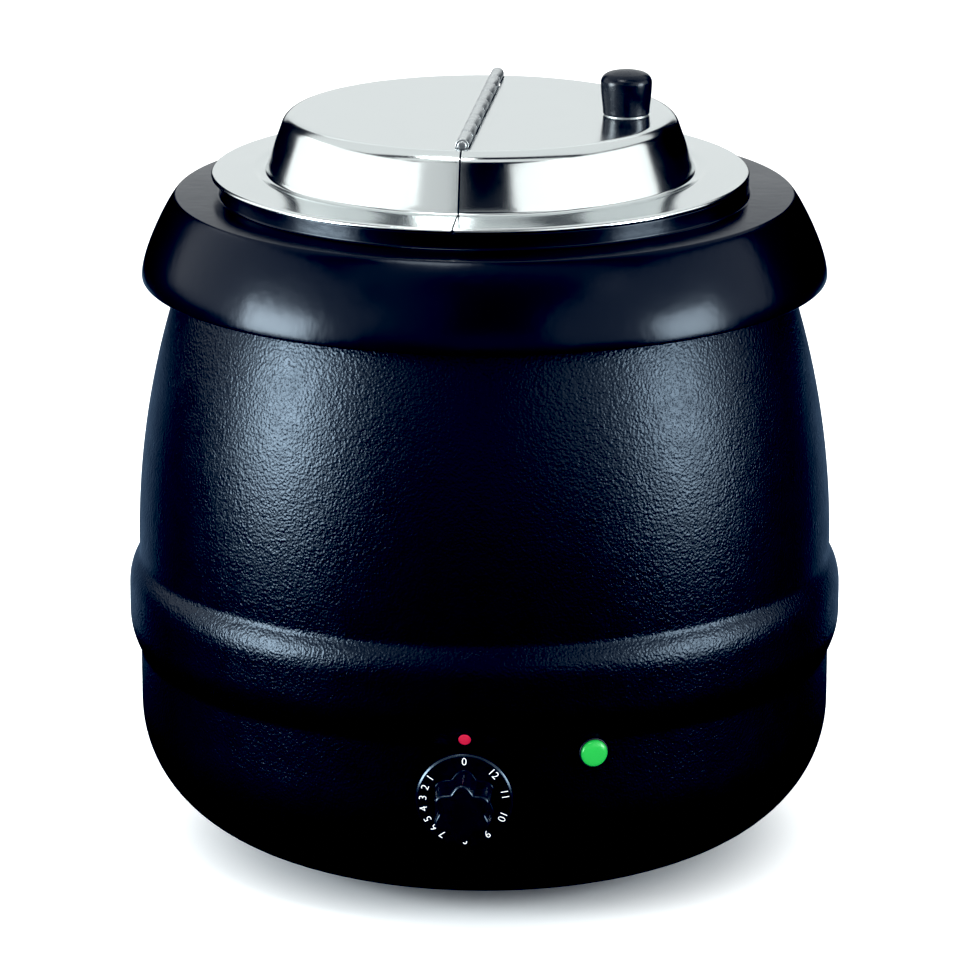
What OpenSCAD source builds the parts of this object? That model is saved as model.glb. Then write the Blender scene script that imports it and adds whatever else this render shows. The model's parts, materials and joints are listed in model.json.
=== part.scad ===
// Wet-heat soup kettle, free standing, about ten litres.
//
// A round sheet steel casing with a raised band carries a water pan. The soup
// pot hangs in the pan by its rim, which rests on a moulded collar with a flared
// skirt. A two-part hinged lid covers the pot. A heater is clamped under the pan,
// and a bulb thermostat with a numbered dial and a pilot lamp sit in the front.
//
// Millimetres, +Z up. The origin is on the kettle's axis, on the surface it
// stands on. The dial faces -Y and the supply lead's gland faces +Y.

/* [Casing] */
// Largest diameter, over the raised band
band_d = 345; // [343:1:348]
// How far the raised band stands out from the wall
band_rise = 5; // [4:0.25:6]
// Thickness of the casing's sheet steel
sheet_t = 1; // [0.8:0.1:1.2]
// Radius of the flat ring that the casing's bottom rests on
bottom_r = 92.7; // [91:0.5:96]
// Radius of the long curve of the upper wall
wall_curve_r = 406; // [400:1:420]

/* [Collar] */
// Largest diameter of the collar, at the lower edge of its skirt
collar_d = 328.2; // [326:0.5:332]
// Height of the collar's top face above the table
collar_top = 320; // [319:0.5:321]
// Height of the collar from the skirt's edge to the top face
collar_h = 39.7; // [36:0.5:42]
// Wall thickness of the moulding
collar_t = 3; // [2.5:0.1:3.2]

/* [Pot] */
// Outer diameter of the soup pot
pot_d = 240; // [238:0.5:241]
// Depth of the soup pot from its rim to its base
pot_depth = 239.4; // [225:1:240]
// Thickness of the pot's sheet
pot_t = 0.8; // [0.6:0.1:1]

/* [Lid] */
// Outer diameter of the lid's flange
lid_d = 256.6; // [256:0.2:258]
// Height of the lid's flat top above the table
lid_top = 358.2; // [356:0.2:359]
// Thickness of the lid's sheet
lid_t = 0.8; // [0.6:0.1:0.9]
// How far the lid is turned on the pot, seen from above
lid_turn = -2.6; // [-5:0.1:5]
// How far the lid lies to the right of the pot's middle, within its play
lid_shift = -2; // [-2.1:0.1:2.1]
// Length of the hinge barrel
barrel_len = 170; // [166:1:172]
// Outer diameter of the hinge barrel
barrel_d = 6.2; // [6:0.1:6.6]
// Distance from the kettle's axis to the middle of the lid knob
knob_x = 69.5; // [66:0.5:72]

/* [Controls] */
// Height of the dial's axis above the table
dial_z = 72; // [71:0.5:73]
// Diameter of the dial's numbered skirt
dial_d = 45; // [42:0.5:46]
// How far the dial's grip stands out from its skirt
grip_len = 18.5; // [16:0.5:19]
// Direction of the pilot lamp, in degrees round from the dial
lamp_turn = 20.4; // [19:0.1:24]
// Height of the pilot lamp's axis above the table
lamp_z = 91.5; // [90:0.5:92]

/* [Feet] */
// Height of the rubber feet
foot_h = 5; // [4.5:0.5:5]
// Diameter of the rubber feet
foot_d = 14; // [13:0.5:14]

/* [Hidden] */

// Facets of a full circle
$fn = 96;
// A cut runs this far past the face it opens
past = 1;

// Casing: the wall is upright up to the band, and leans in on a long arc above it
wall_r = band_d / 2 - band_rise;
corner_h = 65;
corner_power = 2.1;
corner_top = foot_h + corner_h;
band_low = 97.5;
band_flat_low = 115;
band_flat_high = 127;
band_high = 143.6;
arc_start = 148;
shell_top = 300;
opening_r = 78;
top_flange_r = 131;

// Small metric screws: shaft, clearance hole and head radii
m3_r = 1.5;
m3_hole_r = 1.7;
m3_head_r = 2.3;
m3_head_h = 2;
m4_r = 2;
m4_hole_r = 2.15;
m4_head_r = 3.6;
m4_head_h = 2.2;
m4_nut_r = 4;
m4_nut_h = 3.2;
// Radial play between a screw and the part it is tapped into
tap_play = 0.05;

// Feet
foot_ring_r = 85.3;
foot_angles = [45, 135, 225, 315];
foot_chamfer = 1.2;
foot_pocket_h = 3;
foot_screw_low = 0.8;
foot_screw_len = 11.2;

// Base plate, lying on the casing's inturned bottom
plate_r = 91;
plate_z = foot_h + sheet_t;
plate_t = 1;
vent_count = 24;
vent_ring_r = 68;
vent_len = 14;
vent_w = 3;
earth_at = [45, 25];
earth_screw_len = 13;

// Holes in the front wall
wall_cut = 8;
spindle_hole_r = 6.2;

// Water pan, hanging in the casing by its flange
pan_r = 130;
pan_t = 1;
pan_floor = 75;
pan_corner = 15;
pan_flange_r = 137;
gasket_t = 2;
gasket_z = shell_top + pan_t;
gasket_bore_r = 129.2;
collar_seat = gasket_z + gasket_t;

// Collar
collar_bore_r = pot_d / 2 + 2.5;
collar_flat_r = 147;
collar_lip_z = 297;
collar_lip_t = 2.5;
// The bead round the bore, which carries the pot's rim
bead_top = collar_top + 8.3;
bead_r = 126.2;
bead_edge = 1;
seat_ring_r = 131.5;
screw_ring_r = 134;
screw_count = 6;
screw_len = 13.5;
boss_r = 3.4;
boss_hole_h = 11;

// Blanket round the pan
blanket_low = 110;
blanket_h = 182;
blanket_in_r = pan_r + 1;
blanket_out_r = pan_r + 6;

// Soup pot
pot_r = pot_d / 2;
pot_corner = 25;
rest_gap = 0.3;
pot_rim_top = bead_top + rest_gap + pot_t;
pot_rim_r = 125;
pot_floor = pot_rim_top - pot_depth;

// Lid
lid_shoulder_r = 8;
lid_flat_r = 87;
lid_side_lean = 19.4;
lid_foot_r = 103;
lid_flange_z = pot_rim_top + rest_gap + lid_t;
lid_foot_z = lid_flange_z + 0.2;
lid_edge_r = 1.6;
lid_seam = 0.8;
barrel_r = barrel_d / 2;
leaf_t = 0.8;
leaf_z = lid_top - lid_t - leaf_t;
hinge_z = leaf_z + barrel_r;
leaf_w = 14;
leaf_half_len = 80;
knuckles = 9;
knuckle_gap = 0.3;
pin_r = 1.5;
pin_bore_r = 1.55;
barrel_clear = 3.4;
barrel_end_gap = 1.3;

// Lid knob
knob_base_r = 10.35;
knob_top_r = 12.15;
knob_h = 20.9;
knob_washer_r = 10.6;
knob_washer_t = 0.5;

// Heater and thermostat under the pan
element_ring_r = 60;
element_r = 4;
element_gap = 22;
element_leg_r = 3.7;
element_leg_h = 14.5;
element_pin_r = 1.6;
element_pin_h = 4.5;
element_z = pan_floor - element_r - 0.2;
stud_r = 3;
stud_low = 40;
clamp_z = element_z - element_r - 1.6;
clamp_r = 72;
clamp_t = 1.5;
stud_nut_r = 5.8;
stud_nut_h = 5;
shield_z = 48;
shield_r = 92;
shield_t = 0.8;
bulb_r = 3;
bulb_y = -30;
bulb_half = 34;
bulb_z = pan_floor - bulb_r - 0.2;
cutout_at = [28, 28];
cutout_r = 8;
cutout_cap_h = 3;
cutout_h = 11;

// Thermostat behind the front wall
thermostat_front = -163;
thermostat_back = -137;
thermostat_w = 36;
thermostat_screw_x = 14;
spacer_r = 4.3;
spacer_h = 2;
spindle_boss_r = 5.5;
spindle_boss_h = 6;
spindle_depth = 15;
spindle_r = 3;
spindle_play = 0.05;
dial_back = -170.5;
skirt_t = 2.5;
grip_r = 14.8;
flute_r = 4;
flute_ring_r = 17.4;
flute_count = 6;
hub_depth = 13;

// Pilot lamp
lamp_hole_r = 5.2;
lamp_bezel_r = 7;
lamp_bezel_t = 0.9;
lamp_barrel_h = 22;
lamp_bore_r = 3.6;
lamp_lens_r = 6.3;
lamp_lens_z = 1.5;
lamp_nut_r = 8;
lamp_nut_h = 3.6;

// Supply lead's gland
gland_z = 78;
gland_r = 7.8;
gland_bore_r = 3.7;
gland_inner = 157;
gland_outer = 188;
gland_hex_r = 11.5;
gland_hex_t = 5;
gland_cap_r = 10;
gland_cap_edge = 4;
gland_nut_t = 4.6;

// Terminal block on the base plate
terminal_low = [-22, 28];
terminal_size = [44, 20, 16];
terminal_xs = [-16, -5, 6, 16];
terminal_y = 38;
terminal_hole_z = 16;

// Internal leads and capillary tube, as round-number points along each route
capillary_route = [
    [34.1, -30, 71.8], [40, -30, 70], [44, -31, 64], [42, -38, 58], [34, -60, 56],
    [26, -90, 58], [20, -115, 66], [12, -128, 76], [6, -134, 80], [4, -136.5, 80],
];
thermostat_lead_routes = [
    [[-10, -135.8, 62], [-14, -124, 52], [-20, -110, 40], [-22, -80, 28],
     [-20, -40, 20], [-18, 0, 18], [-17, 16, 17], [-17, 27, 16]],
    [[-2, -135.8, 60], [-4, -122, 50], [-8, -108, 38], [-10, -80, 24],
     [-8, -40, 16], [-6, 0, 15], [-5, 16, 16], [-5, 27, 16]],
];
heater_lead_routes = [
    [[-23, 55.5, 52.4], [-23, 56, 46], [-22, 60, 38], [-18, 62, 28], [-15, 58, 20],
     [-15, 53, 17], [-15, 49.5, 16]],
    [[23, 55.5, 52.4], [23, 56, 46], [20, 60, 36], [12, 62, 27], [6, 58, 20],
     [5, 53, 17], [5, 49.5, 16]],
];
lamp_lead_routes = [
    [[52.6, -134.2, 92], [51.6, -131, 87], [50, -126, 76], [46, -118, 58], [40, -100, 40],
     [30, -60, 26], [20, -20, 20], [12, 10, 17], [10, 20, 16], [10, 27, 16]],
    [[48, -136, 92], [47.4, -132.6, 86], [45.4, -126, 74], [41, -116, 56],
     [34, -98, 38], [22, -58, 24], [10, -18, 22], [4, 8, 21], [2, 20, 20],
     [2, 27, 20]],
];
lead_r = 1.2;
capillary_r = 1;
route_sides = 8;
route_steps = 3;

// ---- curves ----

// A quarter of a superellipse about [cx, cz], from angle a0 to angle a1
function bow(cx, cz, rx, rz, power, a0, a1, n) = [
    for (i = [0:n])
        let (a = a0 + (a1 - a0) * i / n, c = cos(a), s = sin(a))
        [cx + rx * sign(c) * pow(abs(c), 2 / power), cz + rz * sign(s) * pow(abs(s), 2 / power)]
];

// A circular arc about [cx, cz]
function arc(cx, cz, r, a0, a1, n) = [
    for (i = [0:n]) let (a = a0 + (a1 - a0) * i / n) [cx + r * cos(a), cz + r * sin(a)]
];

// A cubic Bezier curve
function bezier(a, b, c, d, n) = [
    for (i = [0:n])
        let (t = i / n, u = 1 - t)
        u * u * u * a + 3 * u * u * t * b + 3 * u * t * t * c + t * t * t * d
];

function reversed(p) = [for (i = [len(p) - 1:-1:0]) p[i]];

// The path moved sideways by d, to its right
function beside(p, d) = [
    for (i = [0:len(p) - 1])
        let (t = p[min(i + 1, len(p) - 1)] - p[max(i - 1, 0)])
        p[i] + d * [t[1], -t[0]] / norm(t)
];

// A smooth curve through the points of a route
function smooth_route(p, n) = [
    for (i = [0:len(p) - 2], k = [0:n - 1])
        let (
            a = p[max(i - 1, 0)], b = p[i], c = p[i + 1], d = p[min(i + 2, len(p) - 1)],
            t = k / n
        )
        0.5 * (2 * b + (c - a) * t + (2 * a - 5 * b + 4 * c - d) * t * t
            + (3 * b - a - 3 * c + d) * t * t * t),
    p[len(p) - 1]
];

// A round tube along a route that runs mainly across X
module tube(route, r) {
    p = smooth_route(route, route_steps);
    n = len(p);
    rings = [
        for (i = [0:n - 1])
            let (
                t = p[min(i + 1, n - 1)] - p[max(i - 1, 0)],
                side = cross(t, [1, 0, 0]),
                u = side / norm(side),
                v = cross(u, t) / norm(t)
            )
            for (k = [0:route_sides - 1])
                let (a = 360 * k / route_sides)
                p[i] + r * cos(a) * u + r * sin(a) * v
    ];
    walls = [
        for (i = [0:n - 2], k = [0:route_sides - 1])
            let (a = i * route_sides, m = (k + 1) % route_sides)
            each [
                [a + k, a + m, a + route_sides + m],
                [a + k, a + route_sides + m, a + route_sides + k]
            ]
    ];
    first = [for (k = [route_sides - 1:-1:0]) k];
    last = [for (k = [0:route_sides - 1]) (n - 1) * route_sides + k];
    polyhedron(rings, concat([first], walls, [last]));
}

// ---- placing ----

// Puts its children on a ring of n places, square to the kettle's axis
module on_ring(r, n, start = 0) {
    for (i = [0:n - 1]) rotate([0, 0, start + 360 * i / n]) translate([r, 0, 0]) children();
}

// Puts its children at each foot
module at_feet() {
    for (a = foot_angles) rotate([0, 0, a]) translate([foot_ring_r, 0, 0]) children();
}

// Turns a shape drawn along +Z to point out of the front wall, from depth y
module facing_front(y, z) {
    translate([0, y, z]) rotate([90, 0, 0]) children();
}

// Turns a shape drawn along +Z to point out of the rear wall, from depth y
module facing_rear(y, z) {
    translate([0, y, z]) rotate([-90, 0, 0]) children();
}

// Puts a front-facing shape at the pilot lamp's place
module at_lamp(r) {
    rotate([0, 0, lamp_turn]) facing_front(-r, lamp_z) children();
}

// Puts its children on the turned lid
module on_lid() {
    translate([lid_shift, 0, 0]) rotate([0, 0, lid_turn]) children();
}

// ---- casing ----

// How far the band stands out at height z
function band_at(z) =
    z <= band_low || z >= band_high ? 0
    : z < band_flat_low ? band_rise * (1 - pow((band_flat_low - z) / (band_flat_low - band_low), 2))
    : z <= band_flat_high ? band_rise
    : band_rise * (1 - pow((z - band_flat_high) / (band_high - band_flat_high), 2.4));

// Radius of the leaning upper wall at height z, on an arc of radius r
function lean_r(z, r) = wall_r - wall_curve_r + sqrt(r * r - pow(z - arc_start, 2));

function band_path(n) = [
    for (i = [0:n]) let (z = band_low + (band_high - band_low) * i / n) [wall_r + band_at(z), z]
];

function lean_path(r, z1, n) = [
    for (i = [0:n]) let (z = arc_start + (z1 - arc_start) * i / n) [lean_r(z, r), z]
];

lower_wall = concat(
    bow(bottom_r, corner_top, wall_r - bottom_r, corner_h, corner_power, -90, 0, 20),
    band_path(26)
);

module outer_shell() {
    color([0.05, 0.06, 0.12]) difference() {
        rotate_extrude() polygon(concat(
            [[opening_r, foot_h]],
            lower_wall,
            lean_path(wall_curve_r, shell_top, 18),
            [[top_flange_r, shell_top], [top_flange_r, shell_top - sheet_t]],
            reversed(lean_path(wall_curve_r - sheet_t, shell_top - sheet_t, 18)),
            reversed(beside(lower_wall, -sheet_t)),
            [[opening_r, foot_h + sheet_t]]
        ));
        on_ring(screw_ring_r, screw_count) translate([0, 0, shell_top - 3 * sheet_t])
            cylinder(h = 4 * sheet_t, r = m3_hole_r);
        at_feet() translate([0, 0, foot_h - past]) cylinder(h = sheet_t + 2 * past, r = m4_hole_r);
        facing_front(wall_cut / 2 - wall_r, dial_z) cylinder(h = wall_cut, r = spindle_hole_r);
        for (x = [-thermostat_screw_x, thermostat_screw_x])
            translate([x, 0, 0]) facing_front(wall_cut / 2 - wall_r, dial_z)
                cylinder(h = wall_cut, r = m4_hole_r);
        at_lamp(wall_r - wall_cut / 2) cylinder(h = wall_cut, r = lamp_hole_r);
        facing_rear(wall_r - wall_cut / 2, gland_z) cylinder(h = wall_cut, r = gland_r + 0.2);
    }
}

module base_plate() {
    color("silver") difference() {
        translate([0, 0, plate_z]) cylinder(h = plate_t, r = plate_r);
        at_feet() translate([0, 0, plate_z - past]) cylinder(h = plate_t + 2 * past, r = m4_hole_r);
        translate([earth_at[0], earth_at[1], plate_z - past])
            cylinder(h = plate_t + 2 * past, r = m4_hole_r);
        on_ring(vent_ring_r, vent_count, 180 / vent_count)
            translate([-vent_len / 2, -vent_w / 2, plate_z - past])
            cube([vent_len, vent_w, plate_t + 2 * past]);
    }
}

module rubber_feet() {
    color([0.08, 0.08, 0.08]) at_feet() difference() {
        rotate_extrude() polygon([
            [0, 0], [foot_d / 2 - foot_chamfer, 0], [foot_d / 2, foot_chamfer],
            [foot_d / 2, foot_h], [0, foot_h]
        ]);
        translate([0, 0, -past]) cylinder(h = foot_h + 2 * past, r = m4_hole_r);
        translate([0, 0, -past]) cylinder(h = foot_pocket_h + past, r = m4_head_r + 0.4);
    }
}

module foot_screws() {
    color("silver") at_feet() {
        translate([0, 0, foot_screw_low]) cylinder(h = m4_head_h, r = m4_head_r);
        translate([0, 0, foot_screw_low]) cylinder(h = foot_screw_len, r = m4_r);
    }
}

module hex_nut(r, h, bore) {
    difference() {
        cylinder(h = h, r = r, $fn = 6);
        translate([0, 0, -past]) cylinder(h = h + 2 * past, r = bore);
    }
}

module foot_nuts() {
    color("silver") at_feet() translate([0, 0, plate_z + plate_t])
        hex_nut(m4_nut_r, m4_nut_h, m4_r + tap_play);
}

// ---- collar ----

collar_skirt = bezier(
    [collar_flat_r, collar_top], [collar_flat_r + 2.5, collar_top],
    [collar_d / 2, collar_top - collar_h + 12], [collar_d / 2, collar_top - collar_h], 18
);

module collar() {
    color([0.04, 0.05, 0.08]) difference() {
        union() {
            rotate_extrude() polygon(concat(
                [[collar_bore_r, collar_lip_z], [collar_bore_r, bead_top - bead_edge]],
                [[collar_bore_r + bead_edge, bead_top]],
                arc(bead_r - bead_edge, bead_top - bead_edge, bead_edge, 90, 0, 4),
                arc(bead_r + bead_edge, collar_top + bead_edge, bead_edge, 180, 270, 4),
                collar_skirt,
                reversed(beside(collar_skirt, collar_t)),
                [[seat_ring_r, collar_top - collar_t], [seat_ring_r, collar_seat]],
                [[gasket_bore_r, collar_seat], [gasket_bore_r, collar_top - collar_t]],
                [[collar_bore_r + collar_lip_t, collar_top - collar_t]],
                [[collar_bore_r + collar_lip_t, collar_lip_z]]
            ));
            on_ring(screw_ring_r, screw_count) translate([0, 0, collar_seat])
                cylinder(h = collar_top - collar_t - collar_seat + 0.5, r = boss_r);
        }
        on_ring(screw_ring_r, screw_count) translate([0, 0, collar_seat - past])
            cylinder(h = boss_hole_h + past, r = m3_r + tap_play);
    }
}

module collar_screws() {
    color("silver") on_ring(screw_ring_r, screw_count) translate([0, 0, shell_top - sheet_t]) {
        translate([0, 0, -m3_head_h]) cylinder(h = m3_head_h, r = m3_head_r);
        translate([0, 0, -0.5]) cylinder(h = screw_len, r = m3_r);
    }
}

module pan_gasket() {
    color([0.12, 0.12, 0.12]) difference() {
        translate([0, 0, gasket_z]) cylinder(h = gasket_t, r = pan_flange_r);
        translate([0, 0, gasket_z - past]) cylinder(h = gasket_t + 2 * past, r = gasket_bore_r);
        on_ring(screw_ring_r, screw_count) translate([0, 0, gasket_z - past])
            cylinder(h = gasket_t + 2 * past, r = m3_hole_r);
    }
}

// ---- water pan and heater ----

module water_pan() {
    color([0.75, 0.76, 0.77]) {
        difference() {
            rotate_extrude() polygon(concat(
                [[0, pan_floor]],
                arc(pan_r - pan_corner, pan_floor + pan_corner, pan_corner, -90, 0, 8),
                [[pan_r, shell_top], [pan_flange_r, shell_top]],
                [[pan_flange_r, shell_top + pan_t], [pan_r - pan_t, shell_top + pan_t]],
                reversed(arc(pan_r - pan_corner, pan_floor + pan_corner, pan_corner - pan_t,
                    -90, 0, 8)),
                [[0, pan_floor + pan_t]]
            ));
            on_ring(screw_ring_r, screw_count) translate([0, 0, shell_top - past])
                cylinder(h = pan_t + 2 * past, r = m3_hole_r);
        }
        translate([0, 0, stud_low]) cylinder(h = pan_floor - stud_low + 0.5, r = stud_r);
    }
}

module insulation_blanket() {
    color([0.85, 0.83, 0.7]) difference() {
        translate([0, 0, blanket_low]) cylinder(h = blanket_h, r = blanket_out_r);
        translate([0, 0, blanket_low - past]) cylinder(h = blanket_h + 2 * past, r = blanket_in_r);
    }
}

module heating_element() {
    color([0.35, 0.33, 0.3]) translate([0, 0, element_z]) {
        rotate([0, 0, 90 + element_gap]) rotate_extrude(angle = 360 - 2 * element_gap)
            translate([element_ring_r, 0]) circle(r = element_r);
        for (a = [90 - element_gap, 90 + element_gap])
            rotate([0, 0, a]) translate([element_ring_r, 0, 0]) {
                translate([0, 0, 2.5 - element_leg_h]) cylinder(h = element_leg_h, r = element_leg_r);
                translate([0, 0, 3 - element_leg_h - element_pin_h])
                    cylinder(h = element_pin_h, r = element_pin_r);
            }
    }
}

module element_clamp() {
    color("silver") difference() {
        translate([0, 0, clamp_z]) cylinder(h = clamp_t, r = clamp_r);
        translate([0, 0, clamp_z - past]) cylinder(h = clamp_t + 2 * past, r = stud_r + 0.2);
        for (a = [90 - element_gap, 90 + element_gap])
            rotate([0, 0, a]) translate([element_ring_r, 0, clamp_z - past])
                cylinder(h = clamp_t + 2 * past, r = element_r + 1);
        translate([cutout_at[0], cutout_at[1], clamp_z - past])
            cylinder(h = clamp_t + 2 * past, r = cutout_r + 1);
        translate([44, bulb_y - 1, clamp_z - past]) cylinder(h = clamp_t + 2 * past, r = 4);
    }
}

module clamp_nut() {
    color("silver") translate([0, 0, clamp_z - stud_nut_h])
        hex_nut(stud_nut_r, stud_nut_h, stud_r + tap_play);
}

module heat_shield() {
    color([0.8, 0.8, 0.8]) difference() {
        translate([0, 0, shield_z]) cylinder(h = shield_t, r = shield_r);
        translate([0, 0, shield_z - past]) cylinder(h = shield_t + 2 * past, r = stud_r + 0.2);
        for (a = [90 - element_gap, 90 + element_gap])
            rotate([0, 0, a]) translate([element_ring_r, 0, shield_z - past])
                cylinder(h = shield_t + 2 * past, r = 7);
    }
}

module shield_nut() {
    color("silver") translate([0, 0, shield_z - stud_nut_h])
        hex_nut(stud_nut_r, stud_nut_h, stud_r + tap_play);
}

module thermal_cutout() {
    color([0.2, 0.2, 0.22]) translate([cutout_at[0], cutout_at[1], 0]) {
        translate([0, 0, pan_floor - 0.2 - cutout_cap_h]) cylinder(h = cutout_cap_h, r = cutout_r);
        translate([0, 0, pan_floor - cutout_h]) cylinder(h = cutout_h - cutout_cap_h, r = cutout_r - 1.5);
    }
}

// ---- thermostat ----

module thermostat_body() {
    depth = thermostat_back - thermostat_front;
    color([0.85, 0.82, 0.75]) difference() {
        union() {
            translate([-thermostat_w / 2, thermostat_front, dial_z - thermostat_w / 2])
                cube([thermostat_w, depth, thermostat_w]);
            facing_front(thermostat_front, dial_z) cylinder(h = spindle_boss_h, r = spindle_boss_r);
            for (x = [-thermostat_screw_x, thermostat_screw_x])
                translate([x, 0, 0]) facing_front(thermostat_front, dial_z)
                    cylinder(h = spacer_h, r = spacer_r);
        }
        facing_front(thermostat_front + spindle_depth + past, dial_z)
            cylinder(h = spindle_depth + spindle_boss_h + 2 * past, r = spindle_r + spindle_play);
        for (x = [-thermostat_screw_x, thermostat_screw_x])
            translate([x, 0, 0]) facing_front(thermostat_front + 9, dial_z)
                cylinder(h = 9 + spacer_h + past, r = m4_r + tap_play);
    }
}

module thermostat_screws() {
    seat = sqrt(wall_r * wall_r - pow(thermostat_screw_x - m4_head_r, 2)) + 0.05;
    color("silver") for (x = [-thermostat_screw_x, thermostat_screw_x])
        translate([x, 0, 0]) {
            facing_front(-seat, dial_z) cylinder(h = 1.8, r = m4_head_r);
            facing_front(thermostat_front + 8, dial_z)
                cylinder(h = seat + thermostat_front + 9, r = m4_r);
        }
}

module thermostat_bulb() {
    color([0.8, 0.5, 0.3]) translate([-bulb_half, bulb_y, bulb_z]) rotate([0, 90, 0])
        cylinder(h = 2 * bulb_half, r = bulb_r);
}

module capillary_tube() {
    color([0.8, 0.5, 0.3]) tube(capillary_route, capillary_r);
}

module dial_spindle() {
    depth = thermostat_front + spindle_depth;
    color("silver") facing_front(depth, dial_z)
        cylinder(h = depth - dial_back + hub_depth - 0.5, r = spindle_r);
}

module dial_knob() {
    color([0.04, 0.04, 0.05]) difference() {
        facing_front(dial_back, dial_z) {
            rotate_extrude() polygon([
                [0, 0], [dial_d / 2, 0], [dial_d / 2, skirt_t - 1], [dial_d / 2 - 0.8, skirt_t],
                [0, skirt_t]
            ]);
            translate([0, 0, skirt_t - 0.5]) linear_extrude(grip_len + 0.5) difference() {
                circle(r = grip_r);
                for (i = [1:flute_count]) rotate(360 / flute_count * i)
                    translate([flute_ring_r, 0]) circle(r = flute_r, $fn = 48);
            }
        }
        facing_front(dial_back + past, dial_z)
            cylinder(h = hub_depth + past, r = spindle_r + spindle_play);
    }
}

// ---- pilot lamp ----

module lamp_bezel() {
    color([0.1, 0.1, 0.1]) difference() {
        union() {
            at_lamp(wall_r + 0.6) cylinder(h = lamp_bezel_t, r = lamp_bezel_r);
            at_lamp(wall_r - lamp_barrel_h) cylinder(h = lamp_barrel_h + 0.7, r = lamp_hole_r - 0.1);
        }
        at_lamp(wall_r - 6) cylinder(h = 12, r = lamp_bore_r);
    }
}

module lamp_lens() {
    color([0.1, 0.7, 0.3]) {
        at_lamp(wall_r + lamp_lens_z) rotate_extrude() polygon(concat(
            [[0, 0]], bow(0, 0.8, lamp_lens_r, 2.2, 2.4, 0, 90, 10)
        ));
        at_lamp(wall_r - 5.5) cylinder(h = 7.5, r = lamp_bore_r - 0.2);
    }
}

module lamp_nut() {
    color([0.3, 0.3, 0.3]) at_lamp(wall_r - 5.5)
        hex_nut(lamp_nut_r, lamp_nut_h, lamp_hole_r);
}

// ---- supply lead's gland and wiring ----

module cord_gland() {
    cap_h = gland_outer - wall_r - gland_hex_t;
    color([0.1, 0.1, 0.1]) difference() {
        union() {
            facing_rear(gland_inner, gland_z) cylinder(h = wall_r - gland_inner + 1, r = gland_r);
            facing_rear(wall_r + 0.1, gland_z) cylinder(h = gland_hex_t, r = gland_hex_r, $fn = 6);
            facing_rear(wall_r + gland_hex_t, gland_z) rotate_extrude() polygon(concat(
                [[0, 0], [gland_cap_r, 0]],
                bow(gland_cap_r - gland_cap_edge, cap_h - 6, gland_cap_edge, 6, 2, 0, 90, 6),
                [[0, cap_h]]
            ));
        }
        facing_rear(gland_inner - past, gland_z)
            cylinder(h = gland_outer - gland_inner + 2 * past, r = gland_bore_r);
    }
}

module gland_nut() {
    color([0.15, 0.15, 0.15]) facing_rear(wall_r - sheet_t - 5.2, gland_z)
        hex_nut(gland_hex_r, gland_nut_t, gland_r + tap_play);
}

module terminal_block() {
    color([0.9, 0.88, 0.82]) difference() {
        translate([terminal_low[0], terminal_low[1], plate_z + plate_t]) cube(terminal_size);
        for (x = terminal_xs) translate([x, terminal_y, terminal_hole_z])
            cylinder(h = terminal_size[2], r = m3_r + tap_play);
    }
}

module terminal_screws() {
    color([0.8, 0.7, 0.4]) for (x = terminal_xs) {
        translate([x, terminal_y, terminal_hole_z + 1])
            cylinder(h = plate_z + plate_t + terminal_size[2] - terminal_hole_z, r = m3_r);
        translate([x, terminal_y, plate_z + plate_t + terminal_size[2]])
            cylinder(h = m3_head_h, r = m3_head_r);
    }
}

module earth_screw() {
    color([0.8, 0.7, 0.4]) translate([earth_at[0], earth_at[1], 0]) {
        translate([0, 0, plate_z - m4_head_h]) cylinder(h = m4_head_h, r = m4_head_r);
        translate([0, 0, plate_z - 0.5]) cylinder(h = earth_screw_len, r = m4_r);
    }
}

module earth_nut() {
    color([0.8, 0.7, 0.4]) translate([earth_at[0], earth_at[1], plate_z + plate_t])
        hex_nut(m4_nut_r, m4_nut_h, m4_r + tap_play);
}

module thermostat_leads() {
    color([0.5, 0.1, 0.1]) for (route = thermostat_lead_routes) tube(route, lead_r);
}

module heater_leads() {
    color([0.2, 0.3, 0.6]) for (route = heater_lead_routes) tube(route, lead_r);
}

module lamp_leads() {
    color([0.6, 0.6, 0.6]) for (route = lamp_lead_routes) tube(route, lead_r);
}

// ---- soup pot ----

module soup_pot() {
    color([0.8, 0.81, 0.82]) rotate_extrude() polygon(concat(
        [[0, pot_floor]],
        arc(pot_r - pot_corner, pot_floor + pot_corner, pot_corner, -90, 0, 10),
        [[pot_r, pot_rim_top - pot_t], [pot_rim_r, pot_rim_top - pot_t]],
        [[pot_rim_r, pot_rim_top], [pot_r - pot_t, pot_rim_top]],
        reversed(arc(pot_r - pot_corner, pot_floor + pot_corner, pot_corner - pot_t, -90, 0, 10)),
        [[0, pot_floor + pot_t]]
    ));
}

// ---- lid ----

lid_side_top = [
    lid_flat_r + lid_shoulder_r * cos(lid_side_lean),
    lid_top - lid_shoulder_r + lid_shoulder_r * sin(lid_side_lean)
];

// The lid's upper face from the middle to its turned-down edge
lid_path = concat(
    [[0, lid_top]],
    arc(lid_flat_r, lid_top - lid_shoulder_r, lid_shoulder_r, 90, lid_side_lean, 8),
    bezier(
        lid_side_top + (lid_side_top[1] - lid_foot_z - 2) * [tan(lid_side_lean), -1],
        [lid_foot_r - 1.3, lid_foot_z],
        [lid_foot_r, lid_foot_z],
        [lid_foot_r + 4, lid_foot_z + 0.5], 6
    ),
    arc(lid_d / 2 - lid_edge_r, lid_flange_z - lid_edge_r, lid_edge_r, 90, 0, 6)
);

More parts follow.
